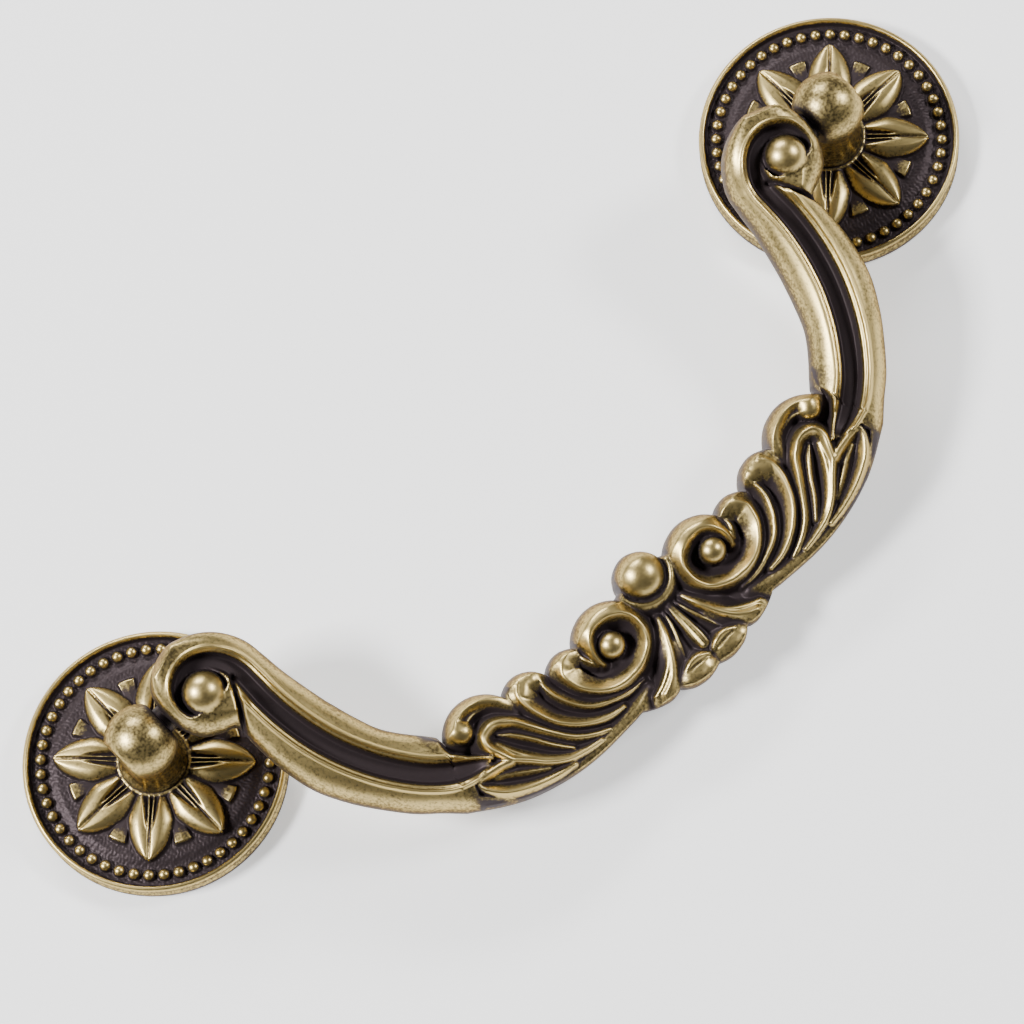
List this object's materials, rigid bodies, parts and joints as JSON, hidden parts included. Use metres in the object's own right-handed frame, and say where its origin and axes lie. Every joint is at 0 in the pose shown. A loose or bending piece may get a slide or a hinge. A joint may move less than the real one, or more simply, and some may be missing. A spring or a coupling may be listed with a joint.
{
  "type": "bail pull",
  "caption": "Cast brass drawer pull: a swinging, grooved and scrolled bail hung between posts on round flower rosettes.",
  "frame": {"origin": "midway between the two screw holes, on the drawer front", "axes": "+X along the two screw holes, +Y up the drawer front, +Z out of the drawer front"},
  "size_m": [0.1644, 0.0632, 0.0228],
  "materials": {
    "antique_brass": "antiqued brass, dark in the recesses and rubbed bright on the edges"
  },
  "bodies": {
    "hardware": {"rosette_left": "antique_brass", "rosette_right": "antique_brass", "post_left": "antique_brass", "post_right": "antique_brass"},
    "handle": {"bail": "antique_brass"}
  },
  "joints": [
    {"name": "bail_swing", "type": "hinge", "parent": "hardware", "child": "handle", "pos_m": [0, 0, 0.015], "axis": [-1, 0, 0], "range_deg": [0, 200]}
  ]
}
